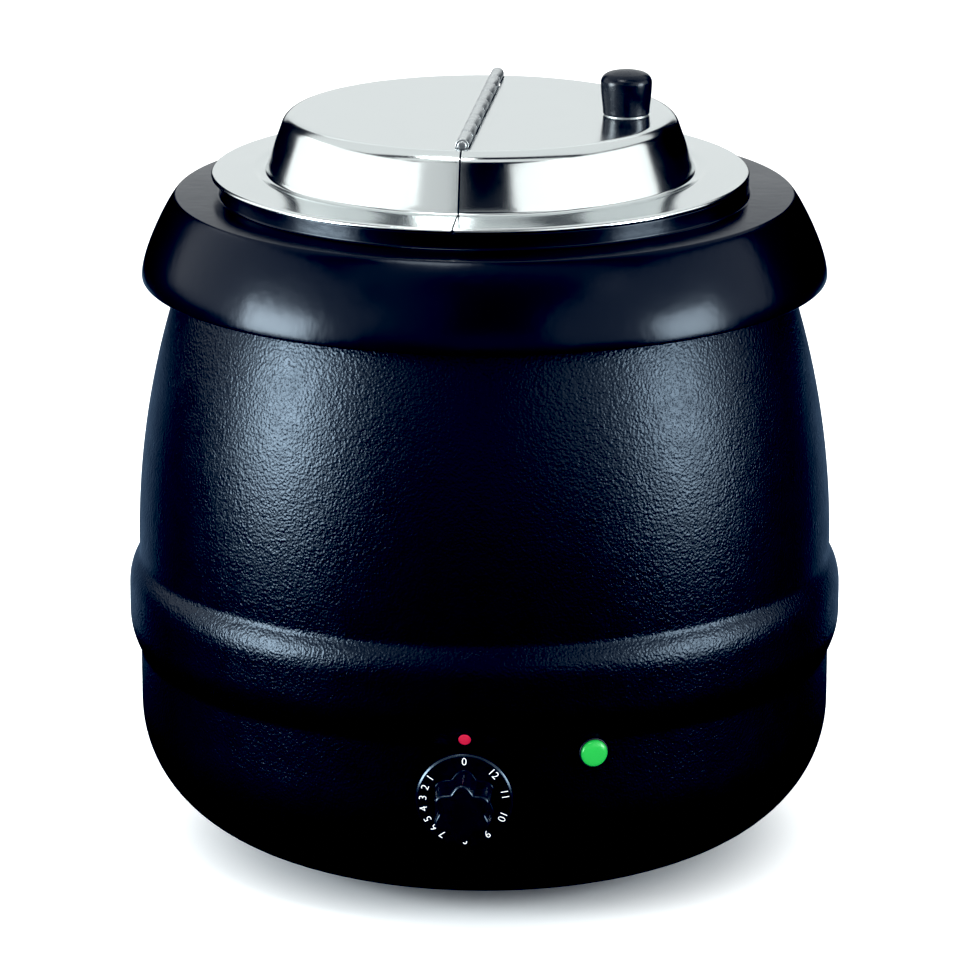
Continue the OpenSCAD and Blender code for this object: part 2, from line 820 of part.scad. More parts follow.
module lid_half(side) {
    difference() {
        rotate_extrude() polygon(concat(lid_path, reversed(beside(lid_path, lid_t))));
        translate([side > 0 ? -lid_d : -lid_seam / 2, -lid_d, lid_foot_z - 20])
            cube([lid_d + lid_seam / 2, 2 * lid_d, 60]);
        translate([-barrel_clear, -barrel_len / 2 - barrel_end_gap, leaf_z - 0.4])
            cube([2 * barrel_clear, barrel_len + 2 * barrel_end_gap, 10]);
    }
}

module lid_left_half() {
    color([0.8, 0.82, 0.82]) on_lid() lid_half(-1);
}

module lid_right_half() {
    color([0.8, 0.82, 0.82]) on_lid() difference() {
        lid_half(1);
        translate([knob_x, 0, lid_top - 5]) cylinder(h = 10, r = m4_hole_r);
    }
}

// One leaf of the hinge. side is -1 for the left leaf, which has the odd knuckles
module hinge_leaf(side) {
    pitch = barrel_len / knuckles;
    first = side < 0 ? 0 : 1;
    difference() {
        union() {
            translate([side < 0 ? -leaf_w : barrel_clear, -leaf_half_len, leaf_z])
                cube([leaf_w - barrel_clear, 2 * leaf_half_len, leaf_t]);
            for (i = [first:2:knuckles - 1]) {
                y0 = -barrel_len / 2 + i * pitch + knuckle_gap / 2;
                y1 = y0 + pitch - knuckle_gap;
                tab0 = max(y0, -leaf_half_len);
                tab1 = min(y1, leaf_half_len);
                translate([0, y0, hinge_z]) rotate([-90, 0, 0]) cylinder(h = y1 - y0, r = barrel_r);
                translate([side < 0 ? -barrel_clear - 0.5 : 0, tab0, leaf_z])
                    cube([barrel_clear + 0.5, tab1 - tab0, leaf_t]);
            }
        }
        translate([0, -barrel_len, hinge_z]) rotate([-90, 0, 0])
            cylinder(h = 2 * barrel_len, r = pin_bore_r);
    }
}

module hinge_leaf_left() {
    color([0.75, 0.76, 0.76]) on_lid() hinge_leaf(-1);
}

module hinge_leaf_right() {
    color([0.75, 0.76, 0.76]) on_lid() hinge_leaf(1);
}

module hinge_pin() {
    color([0.7, 0.7, 0.7]) on_lid() translate([0, 0, hinge_z]) rotate([-90, 0, 0]) {
        translate([0, 0, -barrel_len / 2 - 0.2]) cylinder(h = barrel_len + 0.4, r = pin_r);
        for (z = [-barrel_len / 2 - 0.8, barrel_len / 2])
            translate([0, 0, z]) cylinder(h = 0.8, r = 2.1);
    }
}

module knob_washer() {
    color([0.8, 0.8, 0.8]) on_lid() translate([knob_x, 0, lid_top]) difference() {
        cylinder(h = knob_washer_t, r = knob_washer_r);
        translate([0, 0, -past]) cylinder(h = knob_washer_t + 2 * past, r = m4_hole_r);
    }
}

module lid_knob() {
    color([0.05, 0.06, 0.08]) on_lid() translate([knob_x, 0, lid_top + knob_washer_t]) difference() {
        rotate_extrude() polygon(concat(
            [[0, 0], [knob_base_r - 0.6, 0]],
            bezier([knob_base_r, 0.6], [knob_base_r + 0.6, 5], [knob_top_r, 10], [knob_top_r, 14.4], 8),
            bow(knob_top_r - 6.5, 14.4, 6.5, knob_h - 15.4, 2, 8, 84, 8),
            [[0, knob_h]]
        ));
        translate([0, 0, -past]) cylinder(h = 14 + past, r = m4_r + tap_play);
    }
}

module knob_screw() {
    color("silver") on_lid() translate([knob_x, 0, lid_top - lid_t]) {
        translate([0, 0, -m4_head_h]) cylinder(h = m4_head_h, r = m4_head_r);
        translate([0, 0, -0.5]) cylinder(h = 14.5, r = m4_r);
    }
}

outer_shell();
base_plate();
rubber_feet();
foot_screws();
foot_nuts();
collar();
collar_screws();
water_pan();
pan_gasket();
insulation_blanket();
heating_element();
element_clamp();
clamp_nut();
heat_shield();
shield_nut();
thermal_cutout();
thermostat_body();
thermostat_screws();
thermostat_bulb();
capillary_tube();
terminal_block();
terminal_screws();
earth_screw();
earth_nut();
cord_gland();
gland_nut();
lamp_bezel();
lamp_lens();
lamp_nut();
thermostat_leads();
heater_leads();
lamp_leads();
soup_pot();
lid_left_half();
hinge_leaf_left();
hinge_pin();
lid_right_half();
hinge_leaf_right();
knob_washer();
lid_knob();
knob_screw();
dial_spindle();
dial_knob();
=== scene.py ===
"""Looks for the soup kettle: finished meshes, materials, studio and camera.

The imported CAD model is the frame. Lengths here are in millimetres, as on a drawing,
and are turned into metres where a mesh is made. The kettle stands on z = 0 with its
dial facing -Y.
"""

import json
import math

import bmesh
import bpy
from mathutils import Matrix, Vector


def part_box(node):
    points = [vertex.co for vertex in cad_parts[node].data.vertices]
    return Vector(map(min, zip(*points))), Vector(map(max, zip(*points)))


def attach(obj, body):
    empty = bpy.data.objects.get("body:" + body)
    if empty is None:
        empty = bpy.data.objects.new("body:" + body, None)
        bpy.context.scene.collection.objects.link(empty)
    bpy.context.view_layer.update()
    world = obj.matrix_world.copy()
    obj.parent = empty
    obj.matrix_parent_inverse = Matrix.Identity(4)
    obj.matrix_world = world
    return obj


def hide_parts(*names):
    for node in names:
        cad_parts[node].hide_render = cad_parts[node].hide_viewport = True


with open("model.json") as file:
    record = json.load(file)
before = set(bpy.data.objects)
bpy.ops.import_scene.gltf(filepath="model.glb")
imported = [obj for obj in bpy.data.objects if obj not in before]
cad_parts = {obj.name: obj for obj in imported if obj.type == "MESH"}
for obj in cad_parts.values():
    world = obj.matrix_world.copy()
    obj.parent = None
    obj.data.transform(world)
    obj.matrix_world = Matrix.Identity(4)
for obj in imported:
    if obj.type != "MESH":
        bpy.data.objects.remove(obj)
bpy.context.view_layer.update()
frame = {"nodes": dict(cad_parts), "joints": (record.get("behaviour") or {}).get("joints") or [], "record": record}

MM = 0.001
STEPS = 256
SHARP = math.radians(32)


# ---- sizes, from the frame ----

def node_box(node):
    """A node's lowest and highest corners, in millimetres."""
    low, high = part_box(node)
    return [v / MM for v in low], [v / MM for v in high]


def joint(name):
    return next(j for j in frame["joints"] if j["name"] == name)


shell_low, shell_high = node_box("outer_shell")
collar_low, collar_high = node_box("collar")
pot_low, pot_high = node_box("soup_pot")
dial_low, dial_high = node_box("dial_knob")
gland_low, gland_high = node_box("cord_gland")

BAND_RISE = 5.0
WALL_R = shell_high[0] - BAND_RISE
SHELL_TOP = shell_high[2]
SHELL_MOUTH_R = 131.0
SHELL_FOOT_R = 78.0
FOOT_H = shell_low[2]
FOOT_CIRCLE_R = 85.3
SHEET = 1.0
COLLAR_R = collar_high[0]
COLLAR_SKIRT_Z = collar_low[2]
COLLAR_TOP = COLLAR_SKIRT_Z + 39.7
COLLAR_WALL = 3.0
BEAD_TOP = collar_high[2]
BEAD_R = 126.2
BEAD_EDGE = 1.2
POT_RIM_R = pot_high[0]
POT_TOP = pot_high[2]
POT_FLOOR = pot_low[2]
POT_FLAT_R = 95.0
POT_CORNER = 25.0
POT_SHEET = 0.8
POT_BEND_R = 121.2

HINGE_Z = joint("lid_fold")["pos_m"][2] / MM
fold_axis = joint("lid_fold")["axis"]
LID_TURN = math.atan2(fold_axis[0], -fold_axis[1])
LID_SHIFT = joint("lid_fold")["pos_m"][0] / MM
BARREL_R = 3.1
BARREL_LEN = 170.0
BARREL_BORE = 1.55
PIN_R = 1.5
PIN_HEAD_R = 2.1
PIN_HEAD_T = 0.8
KNUCKLES = 9
LEAF_HALF = 80.0
LEAF_REACH = 14.0
LID_TOP = HINGE_Z - BARREL_R + 1.6
LID_SHEET = 0.8
LID_R = 128.3
FLANGE_Z = POT_TOP + 0.3 + LID_SHEET
EDGE_R = 1.6
KNOB_X = 69.5
KNOB_H = 20.9
KNOB_R = 12.15
KNOB_CROWN = 5.2
WASHER_T = 0.5
WASHER_R = 10.6
WASHER_BORE = 2.2

DIAL_Z = joint("dial_turn")["pos_m"][2] / MM
DIAL_BACK = dial_high[1]
DIAL_FACE = dial_low[1]
DIAL_R = dial_high[0]
SKIRT_T = 2.5
SPINDLE_R = 3.05
GRIP_EDGE = 1.4

LAMP_TURN = math.radians(20.4)
LAMP_Z = 91.5
DOT_Z = 100.3
DOT_R = 2.9
DOT_T = 0.12

GLAND_BORE = 3.7
GLAND_R = 10.0
GLAND_FLATS_R = 11.5


# ---- outlines: points of (distance from the axis, height) ----

def bow(cx, cz, rx, rz, a0, a1, n, power=2.0):
    """A stretch of superellipse from angle a0 to a1, in degrees."""
    points = []
    for i in range(n + 1):
        a = math.radians(a0 + (a1 - a0) * i / n)
        c, s = math.cos(a), math.sin(a)
        x = math.copysign(abs(c) ** (2 / power), c)
        z = math.copysign(abs(s) ** (2 / power), s)
        points.append((cx + rx * x, cz + rz * z))
    return points


def bezier(a, b, c, d, n):
    points = []
    for i in range(n + 1):
        t = i / n
        w = ((1 - t) ** 3, 3 * (1 - t) ** 2 * t, 3 * (1 - t) * t * t, t ** 3)
        points.append(tuple(sum(k * p[m] for k, p in zip(w, (a, b, c, d))) for m in (0, 1)))
    return points


def beside(path, d):
    """The path moved sideways by d, to its right."""
    moved = []
    for i, (x, z) in enumerate(path):
        before = path[max(i - 1, 0)]
        after = path[min(i + 1, len(path) - 1)]
        tx, tz = after[0] - before[0], after[1] - before[1]
        size = math.hypot(tx, tz)
        moved.append((x + d * tz / size, z - d * tx / size))
    return moved


def rounded(corners, n=5):
    """An outline whose corners (x, z, radius) are rounded with arcs."""
    out = []
    count = len(corners)
    for i, (x, z, r) in enumerate(corners):
        if r <= 0:
            out.append((x, z))
            continue
        here = Vector((x, z))
        back = (Vector(corners[i - 1][:2]) - here).normalized()
        ahead = (Vector(corners[(i + 1) % count][:2]) - here).normalized()
        half = back.angle(ahead) / 2
        reach = r / math.tan(half)
        centre = here + (back + ahead).normalized() * (r / math.sin(half))
        start, stop = here + back * reach - centre, here + ahead * reach - centre
        turn = start.angle_signed(stop)
        for k in range(n + 1):
            a = -turn * k / n
            out.append((centre.x + start.x * math.cos(a) - start.y * math.sin(a),
                        centre.y + start.x * math.sin(a) + start.y * math.cos(a)))
    return out


# ---- meshes ----

def link_mesh(name, bm, place=None):
    """Turns a bmesh in millimetres into a finished object in metres."""
    bmesh.ops.remove_doubles(bm, verts=bm.verts, dist=1e-5)
    if place is not None:
        bm.transform(place)
    bm.transform(Matrix.Scale(MM, 4))
    bmesh.ops.recalc_face_normals(bm, faces=bm.faces)
    mesh = bpy.data.meshes.new(name)
    bm.to_mesh(mesh)
    bm.free()
    mesh.polygons.foreach_set("use_smooth", [True] * len(mesh.polygons))
    mesh.set_sharp_from_angle(angle=SHARP)
    obj = bpy.data.objects.new(name, mesh)
    bpy.context.scene.collection.objects.link(obj)
    return obj


def add_lathe(bm, outline, steps=STEPS, place=None):
    """A closed outline of (radius, height) turned about Z."""
    rings = []
    made = []
    for r, z in outline:
        if r < 1e-6:
            rings.append([bm.verts.new((0, 0, z))])
        else:
            turns = [2 * math.pi * k / steps for k in range(steps)]
            rings.append([bm.verts.new((r * math.cos(a), r * math.sin(a), z)) for a in turns])
        made += rings[-1]
    for a, b in zip(rings, rings[1:] + rings[:1]):
        if len(a) == 1 and len(b) == 1:
            continue
        for k in range(steps):
            m = (k + 1) % steps
            if len(a) == 1:
                bm.faces.new((a[0], b[m], b[k]))
            elif len(b) == 1:
                bm.faces.new((a[k], a[m], b[0]))
            else:
                bm.faces.new((a[k], a[m], b[m], b[k]))
    if place is not None:
        bmesh.ops.transform(bm, matrix=place, verts=made)


def lathe(name, outline, steps=STEPS, place=None):
    bm = bmesh.new()
    add_lathe(bm, outline, steps, place)
    return link_mesh(name, bm)


def add_loft(bm, rings, place=None):
    """A closed solid through rings of equally many points, with flat ends."""
    loops = [[bm.verts.new(p) for p in ring] for ring in rings]
    count = len(loops[0])
    for a, b in zip(loops, loops[1:]):
        for k in range(count):
            m = (k + 1) % count
            bm.faces.new((a[k], a[m], b[m], b[k]))
    for loop in (loops[0], loops[-1]):
        middle = bm.verts.new(sum((v.co for v in loop), Vector()) / count)
        for k in range(count):
            bm.faces.new((loop[k], loop[(k + 1) % count], middle))
        loops.append([middle])
    if place is not None:
        bmesh.ops.transform(bm, matrix=place, verts=[v for loop in loops for v in loop])


def add_block(bm, low, high, edge, place=None):
    """A box with rounded upright edges and chamfered ends."""
    (x0, y0, z0), (x1, y1, z1) = low, high
    outline = rounded([(x0, y0, edge), (x1, y0, edge), (x1, y1, edge), (x0, y1, edge)], 4)
    cx, cy = (x0 + x1) / 2, (y0 + y1) / 2
    inset = min(edge, (z1 - z0) / 4) * 0.6

    def ring(z, cut):
        sx, sy = 1 - 2 * cut / (x1 - x0), 1 - 2 * cut / (y1 - y0)
        return [(cx + (x - cx) * sx, cy + (y - cy) * sy, z) for x, y in outline]

    add_loft(bm, [ring(z0, inset), ring(z0 + inset, 0), ring(z1 - inset, 0), ring(z1, inset)], place)


def along_y(x, y, z, sign=1):
    """Places a shape drawn along +Z so that it points along +Y, or -Y."""
    return Matrix.Translation((x, y, z)) @ Matrix.Rotation(math.radians(-90 * sign), 4, "X")


def on_lid(matrix=None):
    turned = Matrix.Translation((LID_SHIFT, 0, 0)) @ Matrix.Rotation(LID_TURN, 4, "Z")
    return turned if matrix is None else turned @ matrix


def at_lamp(r):
    turned = Matrix.Rotation(LAMP_TURN, 4, "Z")
    return turned @ along_y(0, -r, LAMP_Z, -1)


# ---- materials ----

def material(name, colour, rough, metal=0.0, **sockets):
    """A Principled material. Constants go on the shader's own sockets."""
    mat = bpy.data.materials.new(name)
    mat.use_nodes = True
    shader = mat.node_tree.nodes["Principled BSDF"]
    shader.inputs["Base Color"].default_value = (*colour, 1)
    shader.inputs["Roughness"].default_value = rough
    shader.inputs["Metallic"].default_value = metal
    for socket, value in sockets.items():
        shader.inputs[socket.replace("_", " ")].default_value = value
    return mat


def add_node(mat, kind, **settings):
    node = mat.node_tree.nodes.new(kind)
    for key, value in settings.items():
        if key in node.inputs:
            node.inputs[key].default_value = value
        else:
            setattr(node, key, value)
    return node


def object_noise(mat, scale, detail=3.0, stretch=(1, 1, 1), roughness=0.5):
    """Noise fixed to the object, scale in waves per metre."""
    links = mat.node_tree.links
    coords = add_node(mat, "ShaderNodeTexCoord")
    mapping = add_node(mat, "ShaderNodeMapping", Scale=stretch)
    noise = add_node(mat, "ShaderNodeTexNoise", Scale=scale, Detail=detail, Roughness=roughness)
    links.new(coords.outputs["Object"], mapping.inputs["Vector"])
    links.new(mapping.outputs["Vector"], noise.inputs["Vector"])
    return noise


def spread(mat, source, low, high, socket):
    """Feeds a socket with a texture's value, mapped onto low to high."""
    links = mat.node_tree.links
    shader = mat.node_tree.nodes["Principled BSDF"]
    ramp = add_node(mat, "ShaderNodeMapRange")
    ramp.inputs["From Min"].default_value = 0.3
    ramp.inputs["From Max"].default_value = 0.7
    ramp.inputs["To Min"].default_value = low
    ramp.inputs["To Max"].default_value = high
    links.new(source, ramp.inputs["Value"])
    links.new(ramp.outputs["Result"], shader.inputs[socket])


def tint(mat, source, dark, light):
    """Colours a material between two colours by a texture's value."""
    links = mat.node_tree.links
    shader = mat.node_tree.nodes["Principled BSDF"]
    ramp = add_node(mat, "ShaderNodeValToRGB")
    ramp.color_ramp.elements[0].position = 0.3
    ramp.color_ramp.elements[1].position = 0.7
    ramp.color_ramp.elements[0].color = (*dark, 1)
    ramp.color_ramp.elements[1].color = (*light, 1)
    links.new(source, ramp.inputs["Fac"])
    links.new(ramp.outputs["Color"], shader.inputs["Base Color"])


def bump(mat, source, distance, strength=1.0, under=None):
    """Adds a bump of a depth in metres, on top of the bump node under."""
    links = mat.node_tree.links
    shader = mat.node_tree.nodes["Principled BSDF"]
    node = add_node(mat, "ShaderNodeBump", Strength=strength, Distance=distance)
    links.new(source, node.inputs["Height"])
    if under is not None:
        links.new(under.outputs["Normal"], node.inputs["Normal"])
    links.new(node.outputs["Normal"], shader.inputs["Normal"])
    return node


def casing_paint():
    """Hammered powder coat: shallow rounded pits a millimetre or so across."""
    mat = material("casing_paint", (0.0004, 0.0007, 0.003), 0.28, Specular_Tint=(0.74, 0.87, 1.0, 1))
    links = mat.node_tree.links
    coords = add_node(mat, "ShaderNodeTexCoord")
    warp = add_node(mat, "ShaderNodeTexNoise", Scale=560, Detail=2)
    mixed = add_node(mat, "ShaderNodeVectorMath", operation="MULTIPLY_ADD")
    mixed.inputs[1].default_value = (0.0012, 0.0012, 0.0012)
    cells = add_node(mat, "ShaderNodeTexVoronoi", feature="SMOOTH_F1", Scale=820, Smoothness=0.7)
    links.new(coords.outputs["Object"], warp.inputs["Vector"])
    links.new(warp.outputs["Color"], mixed.inputs[0])
    links.new(coords.outputs["Object"], mixed.inputs[2])
    links.new(mixed.outputs["Vector"], cells.inputs["Vector"])
    broad = object_noise(mat, 360, 2)
    under = bump(mat, broad.outputs["Fac"], 0.00022, 0.7)
    bump(mat, cells.outputs["Distance"], 0.00024, 0.8, under)
    spread(mat, object_noise(mat, 90, 4).outputs["Fac"], 0.27, 0.34, "Roughness")
    return mat


def collar_plastic():
    """Smooth satin plastic, blue-black."""
    mat = material("collar_plastic", (0.0004, 0.0008, 0.003), 0.22, Specular_IOR_Level=0.36,
                   Specular_Tint=(0.84, 0.92, 1.0, 1))
    bump(mat, object_noise(mat, 160, 2).outputs["Fac"], 0.00018, 0.5)
    spread(mat, object_noise(mat, 35, 4).outputs["Fac"], 0.2, 0.25, "Roughness")
    return mat


def turned_steel(name, colour, low, high, grain):
    """Sheet steel with a faint grain that runs round the axis."""
    mat = material(name, colour, low, 1.0)
    links = mat.node_tree.links
    coords = add_node(mat, "ShaderNodeTexCoord")
    split = add_node(mat, "ShaderNodeSeparateXYZ")
    flat = add_node(mat, "ShaderNodeCombineXYZ")
    reach = add_node(mat, "ShaderNodeVectorMath", operation="LENGTH")
    rings = add_node(mat, "ShaderNodeCombineXYZ")
    fine = add_node(mat, "ShaderNodeTexNoise", Scale=grain, Detail=4)
    links.new(coords.outputs["Object"], split.inputs["Vector"])
    links.new(split.outputs["X"], flat.inputs["X"])
    links.new(split.outputs["Y"], flat.inputs["Y"])
    links.new(flat.outputs["Vector"], reach.inputs["Vector"])
    links.new(reach.outputs["Value"], rings.inputs["X"])
    links.new(split.outputs["Z"], rings.inputs["Y"])
    links.new(rings.outputs["Vector"], fine.inputs["Vector"])
    bump(mat, fine.outputs["Fac"], 0.00002, 0.25)
    spread(mat, object_noise(mat, 45, 5).outputs["Fac"], low, high, "Roughness")
    return mat


def mottled(name, dark, light, rough, scale, metal=0.0, depth=0.0, **sockets):
    """A plain finish with a slight unevenness in colour, gloss and surface."""
    mat = material(name, light, rough, metal, **sockets)
    grain = object_noise(mat, scale, 4)
    tint(mat, grain.outputs["Fac"], dark, light)
    spread(mat, object_noise(mat, scale * 0.4, 3).outputs["Fac"], rough * 0.85, rough * 1.15, "Roughness")
    if depth:
        bump(mat, grain.outputs["Fac"], depth, 0.5)
    return mat


def lamp_green():
    """A lit green cap, deeper in colour towards its edge."""
    mat = material("lamp_green", (0.015, 0.17, 0.035), 0.25, Emission_Strength=0.62)
    links = mat.node_tree.links
    shader = mat.node_tree.nodes["Principled BSDF"]
    weight = add_node(mat, "ShaderNodeLayerWeight", Blend=0.35)
    ramp = add_node(mat, "ShaderNodeValToRGB")
    ramp.color_ramp.elements[0].color = (0.035, 0.52, 0.085, 1)
    ramp.color_ramp.elements[1].color = (0.005, 0.16, 0.02, 1)
    links.new(weight.outputs["Facing"], ramp.inputs["Fac"])
    links.new(ramp.outputs["Color"], shader.inputs["Emission Color"])
    bump(mat, object_noise(mat, 500, 2).outputs["Fac"], 0.0001, 0.4)
    return mat


MATERIALS = {
    "casing_paint": casing_paint(),
    "collar_plastic": collar_plastic(),
    "lid_steel": turned_steel("lid_steel", (0.80, 0.83, 0.83), 0.13, 0.19, 4000),
    "pot_steel": turned_steel("pot_steel", (0.76, 0.78, 0.78), 0.4, 0.43, 2500),
    "pan_steel": turned_steel("pan_steel", (0.66, 0.67, 0.67), 0.42, 0.46, 1500),
    "hinge_steel": mottled("hinge_steel", (0.62, 0.64, 0.65), (0.78, 0.8, 0.8), 0.38, 300, 1.0, 0.00002),
    "zinc_steel": mottled("zinc_steel", (0.42, 0.43, 0.45), (0.6, 0.61, 0.62), 0.34, 400, 1.0, 0.00004),
    "shield_metal": mottled("shield_metal", (0.66, 0.66, 0.66), (0.8, 0.8, 0.8), 0.3, 200, 1.0, 0.00003),
    "brass_fitting": mottled("brass_fitting", (0.5, 0.34, 0.12), (0.72, 0.52, 0.2), 0.28, 300, 1.0),
    "copper_tube": mottled("copper_tube", (0.5, 0.24, 0.13), (0.74, 0.4, 0.24), 0.3, 300, 1.0),
    "element_sheath": mottled("element_sheath", (0.05, 0.045, 0.04), (0.14, 0.12, 0.1), 0.55, 250,
                              0.6, 0.0001),
    "knob_plastic": mottled("knob_plastic", (0.002, 0.003, 0.005), (0.004, 0.006, 0.009), 0.27, 500,
                            0.0, 0.00005),
    "dial_plastic": mottled("dial_plastic", (0.001, 0.0015, 0.003), (0.002, 0.003, 0.005), 0.26, 400,
                            0.0, 0.00003, Specular_IOR_Level=0.9, Specular_Tint=(0.7, 0.86, 1, 1)),
    "control_plastic": mottled("control_plastic", (0.009, 0.009, 0.01), (0.018, 0.018, 0.02), 0.42, 600,
                               0.0, 0.00006),
    "control_ceramic": mottled("control_ceramic", (0.52, 0.49, 0.41), (0.68, 0.65, 0.56), 0.5, 300,
                               0.0, 0.00006),
    "foot_rubber": mottled("foot_rubber", (0.012, 0.012, 0.012), (0.03, 0.03, 0.03), 0.75, 500, 0.0, 0.00012),
    "gasket_rubber": mottled("gasket_rubber", (0.03, 0.03, 0.03), (0.06, 0.06, 0.06), 0.7, 500, 0.0, 0.0001),
    "blanket": mottled("blanket", (0.5, 0.46, 0.34), (0.74, 0.7, 0.56), 0.9, 300, 0.0, 0.0006),
    "lead_insulation": mottled("lead_insulation", (0.2, 0.03, 0.025), (0.34, 0.06, 0.05), 0.5, 400),
    "lamp_green": lamp_green(),
    "dial_print": mottled("dial_print", (0.7, 0.72, 0.72), (0.86, 0.87, 0.87), 0.4, 600),
    "dot_paint": mottled("dot_paint", (0.38, 0.018, 0.045), (0.46, 0.026, 0.06), 0.35, 600),
}


def dress(obj, slot, body, *nodes, look=None):
    """Gives a piece the material of its slot, or of look, parents it to its body's empty, and hides the CAD nodes
    it stands for.
    """
    obj.data.materials.clear()
    obj.data.materials.append(MATERIALS[look or slot])
    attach(obj, body)
    if nodes:
        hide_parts(*nodes)
    return obj


def dress_frame():
    """Gives every CAD node the material of its record slot."""
    for row in frame["record"]["subparts"]:
        obj = frame["nodes"][row["node"]]
        for slot in obj.material_slots:
            slot.material = MATERIALS[row["material_slot"]]


# ---- casing ----

CORNER_TOP = FOOT_H + 65
CORNER_POWER = 2.1
FLAT_R = 92.7
BAND_LOW, BAND_FLAT_LOW, BAND_FLAT_HIGH, BAND_HIGH = 97.5, 115.0, 127.0, 143.6
LEAN_START = 148.0
LEAN_R = 406.0


def raw_band(z):
    """How far the pressed band stands out at height z."""
    if z <= BAND_LOW or z >= BAND_HIGH:
        return 0.0
    if z < BAND_FLAT_LOW:
        return BAND_RISE * (1 - ((BAND_FLAT_LOW - z) / (BAND_FLAT_LOW - BAND_LOW)) ** 2)
    if z <= BAND_FLAT_HIGH:
        return BAND_RISE
    return BAND_RISE * (1 - ((z - BAND_FLAT_HIGH) / (BAND_HIGH - BAND_FLAT_HIGH)) ** 2.4)


def shell_r(z):
    """Radius of the casing above its rounded corner, with the band's creases eased."""
    eased = sum(raw_band(z + 0.5 * k) for k in range(-3, 4)) / 7
    lean = max(z - LEAN_START, 0)
    return WALL_R + eased - LEAN_R + math.sqrt(LEAN_R ** 2 - lean ** 2)


def make_shell():
    corner = bow(FLAT_R, CORNER_TOP, WALL_R - FLAT_R, CORNER_TOP - FOOT_H, -90, 0, 48, CORNER_POWER)
    rows = 200
    heights = [CORNER_TOP + (SHELL_TOP - CORNER_TOP) * i / rows for i in range(1, rows)]
    wall = corner + [(shell_r(z), z) for z in heights]
    rim = (shell_r(SHELL_TOP), SHELL_TOP)
    outer = [(SHELL_FOOT_R, FOOT_H)] + wall + [rim, (SHELL_MOUTH_R, SHELL_TOP)]
    inner = [(SHELL_FOOT_R, FOOT_H + SHEET)] + beside(wall, -SHEET) + [(SHELL_MOUTH_R, SHELL_TOP - SHEET)]
    dress(lathe("casing", outer + inner[::-1]), "casing_paint", "base", "outer_shell")


def make_index_dot():
    """The painted dot above the dial, laid on the casing's wall."""
    bm = bmesh.new()
    rings = 6
    turns = 48
    grid = [[bm.verts.new((0, -shell_r(DOT_Z) - DOT_T, DOT_Z))]]
    for i in range(1, rings + 1):
        ring = []
        for k in range(turns):
            a = 2 * math.pi * k / turns
            x, z = DOT_R * i / rings * math.cos(a), DOT_Z + DOT_R * i / rings * math.sin(a)
            lift = DOT_T if i < rings else 0.02
            ring.append(bm.verts.new((x, -math.sqrt((shell_r(z) + lift) ** 2 - x * x), z)))
        grid.append(ring)
    for k in range(turns):
        m = (k + 1) % turns
        bm.faces.new((grid[0][0], grid[1][k], grid[1][m]))
        for a, b in zip(grid[1:], grid[2:]):
            bm.faces.new((a[k], b[k], b[m], a[m]))
    dress(link_mesh("index_dot", bm), "lamp_green", "base", look="dot_paint")


def make_feet():
    outline = rounded([(0, 3, 0), (4.2, 3, 0.3), (4.2, 0, 0.4), (6.6, 0, 0.8),
                       (7, FOOT_H, 0.2), (0, FOOT_H, 0)])
    bm = bmesh.new()
    for k in range(4):
        spot = Matrix.Rotation(math.radians(45 + 90 * k), 4, "Z") @ Matrix.Translation((FOOT_CIRCLE_R, 0, 0))
        add_lathe(bm, outline, 64, spot)
    dress(link_mesh("feet", bm), "foot_rubber", "base", "rubber_feet")


# ---- collar, pot ----

def make_collar():
    """The bead round the mouth, the skirt, and the rib and throat that reach into the casing."""
    skirt = bezier((147, COLLAR_TOP), (149.5, COLLAR_TOP), (COLLAR_R, COLLAR_SKIRT_Z + 12),
                   (COLLAR_R, COLLAR_SKIRT_Z + 0.8), 60)
    lip = bow(COLLAR_R - 1.2, COLLAR_SKIRT_Z + 0.8, 1.2, 0.8, 0, -90, 6)[1:]
    inside = beside(skirt, COLLAR_WALL)[::-1]
    bead = bow(123.7, BEAD_TOP - BEAD_EDGE, BEAD_EDGE, BEAD_EDGE, 180, 90, 6)
    bead += bow(BEAD_R - BEAD_EDGE, BEAD_TOP - BEAD_EDGE, BEAD_EDGE, BEAD_EDGE, 90, 0, 6)
    fillet = bow(BEAD_R + 1.5, COLLAR_TOP + 1.5, 1.5, 1.5, 180, 270, 6)
    ledge_z, rib_z, throat_z = 317, 303, 297
    throat = [(131.5, ledge_z), (131.5, rib_z), (129.2, rib_z), (129.2, ledge_z),
              (125, ledge_z), (125, throat_z), (122.5, throat_z)]
    outline = bead + fillet + skirt + lip + inside + throat
    dress(lathe("collar_ring", outline), "collar_plastic", "base", "collar")


def make_pot():
    outer_bend, inner_bend = 1.2, 1.2 + POT_SHEET
    bend_z = POT_TOP - inner_bend
    edge = POT_SHEET / 2
    inner_corner = POT_CORNER - POT_SHEET
    corner_z = POT_FLOOR + POT_CORNER
    wall = [(0, POT_FLOOR)] + bow(POT_FLAT_R, corner_z, POT_CORNER, POT_CORNER, -90, 0, 24)
    under = bow(POT_BEND_R, bend_z, outer_bend, outer_bend, 180, 90, 6)
    rim = bow(POT_RIM_R - edge, POT_TOP - edge, edge, edge, -90, 90, 8)
    throat = bow(POT_BEND_R, bend_z, inner_bend, inner_bend, 90, 180, 6)
    inner = bow(POT_FLAT_R, corner_z, inner_corner, inner_corner, 0, -90, 24)
    outline = wall + under + rim + throat + inner + [(0, POT_FLOOR + POT_SHEET)]
    dress(lathe("pot", outline), "pot_steel", "pot", "soup_pot")


# ---- lid ----

NOTCH = 3.4
NOTCH_R = BARREL_LEN / 2 + 1.3
SEAM = 0.4
CORNER = 1.2
RAISED_R = 87.0
SHOULDER = 8.0
LEAN = 19.4
FOOT_RISE = 2.2


